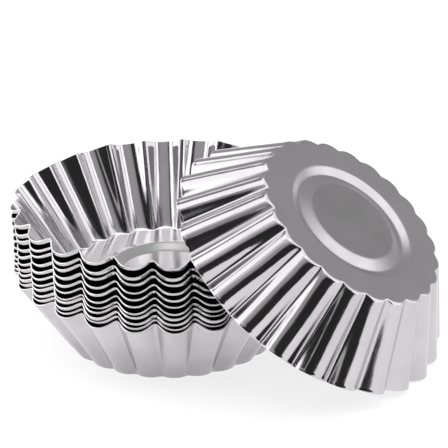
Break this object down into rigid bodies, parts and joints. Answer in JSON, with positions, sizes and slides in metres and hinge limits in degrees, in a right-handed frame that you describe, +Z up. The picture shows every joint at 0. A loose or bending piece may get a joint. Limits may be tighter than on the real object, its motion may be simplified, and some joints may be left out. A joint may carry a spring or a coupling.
{
  "type": "tart pan set",
  "caption": "Fluted round tart pans of thin sheet metal, nested in an upright stack with one more pan upside down leaning against it.",
  "frame": {"origin": "centre of the bottom pan's base, on the table it stands on", "axes": "+Z up along the stack, +X towards the side where the leaning pan lies, +Y away from the front"},
  "size_m": [0.0952, 0.0827, 0.0485],
  "materials": {
    "pan_metal": "bright rolled sheet, pressed, with a satin base"
  },
  "bodies": {
    "bottom_pan": {"bottom_pan": "pan_metal"},
    "nested_pan_02": {"nested_pan_02": "pan_metal"},
    "nested_pan_03": {"nested_pan_03": "pan_metal"},
    "nested_pan_04": {"nested_pan_04": "pan_metal"},
    "nested_pan_05": {"nested_pan_05": "pan_metal"},
    "nested_pan_06": {"nested_pan_06": "pan_metal"},
    "nested_pan_07": {"nested_pan_07": "pan_metal"},
    "nested_pan_08": {"nested_pan_08": "pan_metal"},
    "nested_pan_09": {"nested_pan_09": "pan_metal"},
    "nested_pan_10": {"nested_pan_10": "pan_metal"},
    "top_pan": {"top_pan": "pan_metal"},
    "leaning_pan": {"leaning_pan": "pan_metal"}
  },
  "joints": [
    {"name": "lift_nested_pan_02", "type": "slide", "parent": "bottom_pan", "child": "nested_pan_02", "axis": [0, 0, 1], "range_m": [0, 0.02]},
    {"name": "lift_nested_pan_03", "type": "slide", "parent": "nested_pan_02", "child": "nested_pan_03", "axis": [0, 0, 1], "range_m": [0, 0.02]},
    {"name": "lift_nested_pan_04", "type": "slide", "parent": "nested_pan_03", "child": "nested_pan_04", "axis": [0, 0, 1], "range_m": [0, 0.02]},
    {"name": "lift_nested_pan_05", "type": "slide", "parent": "nested_pan_04", "child": "nested_pan_05", "axis": [0, 0, 1], "range_m": [0, 0.02]},
    {"name": "lift_nested_pan_06", "type": "slide", "parent": "nested_pan_05", "child": "nested_pan_06", "axis": [0, 0, 1], "range_m": [0, 0.02]},
    {"name": "lift_nested_pan_07", "type": "slide", "parent": "nested_pan_06", "child": "nested_pan_07", "axis": [0, 0, 1], "range_m": [0, 0.02]},
    {"name": "lift_nested_pan_08", "type": "slide", "parent": "nested_pan_07", "child": "nested_pan_08", "axis": [0, 0, 1], "range_m": [0, 0.02]},
    {"name": "lift_nested_pan_09", "type": "slide", "parent": "nested_pan_08", "child": "nested_pan_09", "axis": [0, 0, 1], "range_m": [0, 0.02]},
    {"name": "lift_nested_pan_10", "type": "slide", "parent": "nested_pan_09", "child": "nested_pan_10", "axis": [0, 0, 1], "range_m": [0, 0.02]},
    {"name": "lift_top_pan", "type": "slide", "parent": "nested_pan_10", "child": "top_pan", "axis": [0, 0, 1], "range_m": [0, 0.02]},
    {"name": "lift_leaning_pan", "type": "slide", "parent": "top_pan", "child": "leaning_pan", "axis": [0.5547, -0.2407, 0.7965], "range_m": [0, 0.05]}
  ]
}
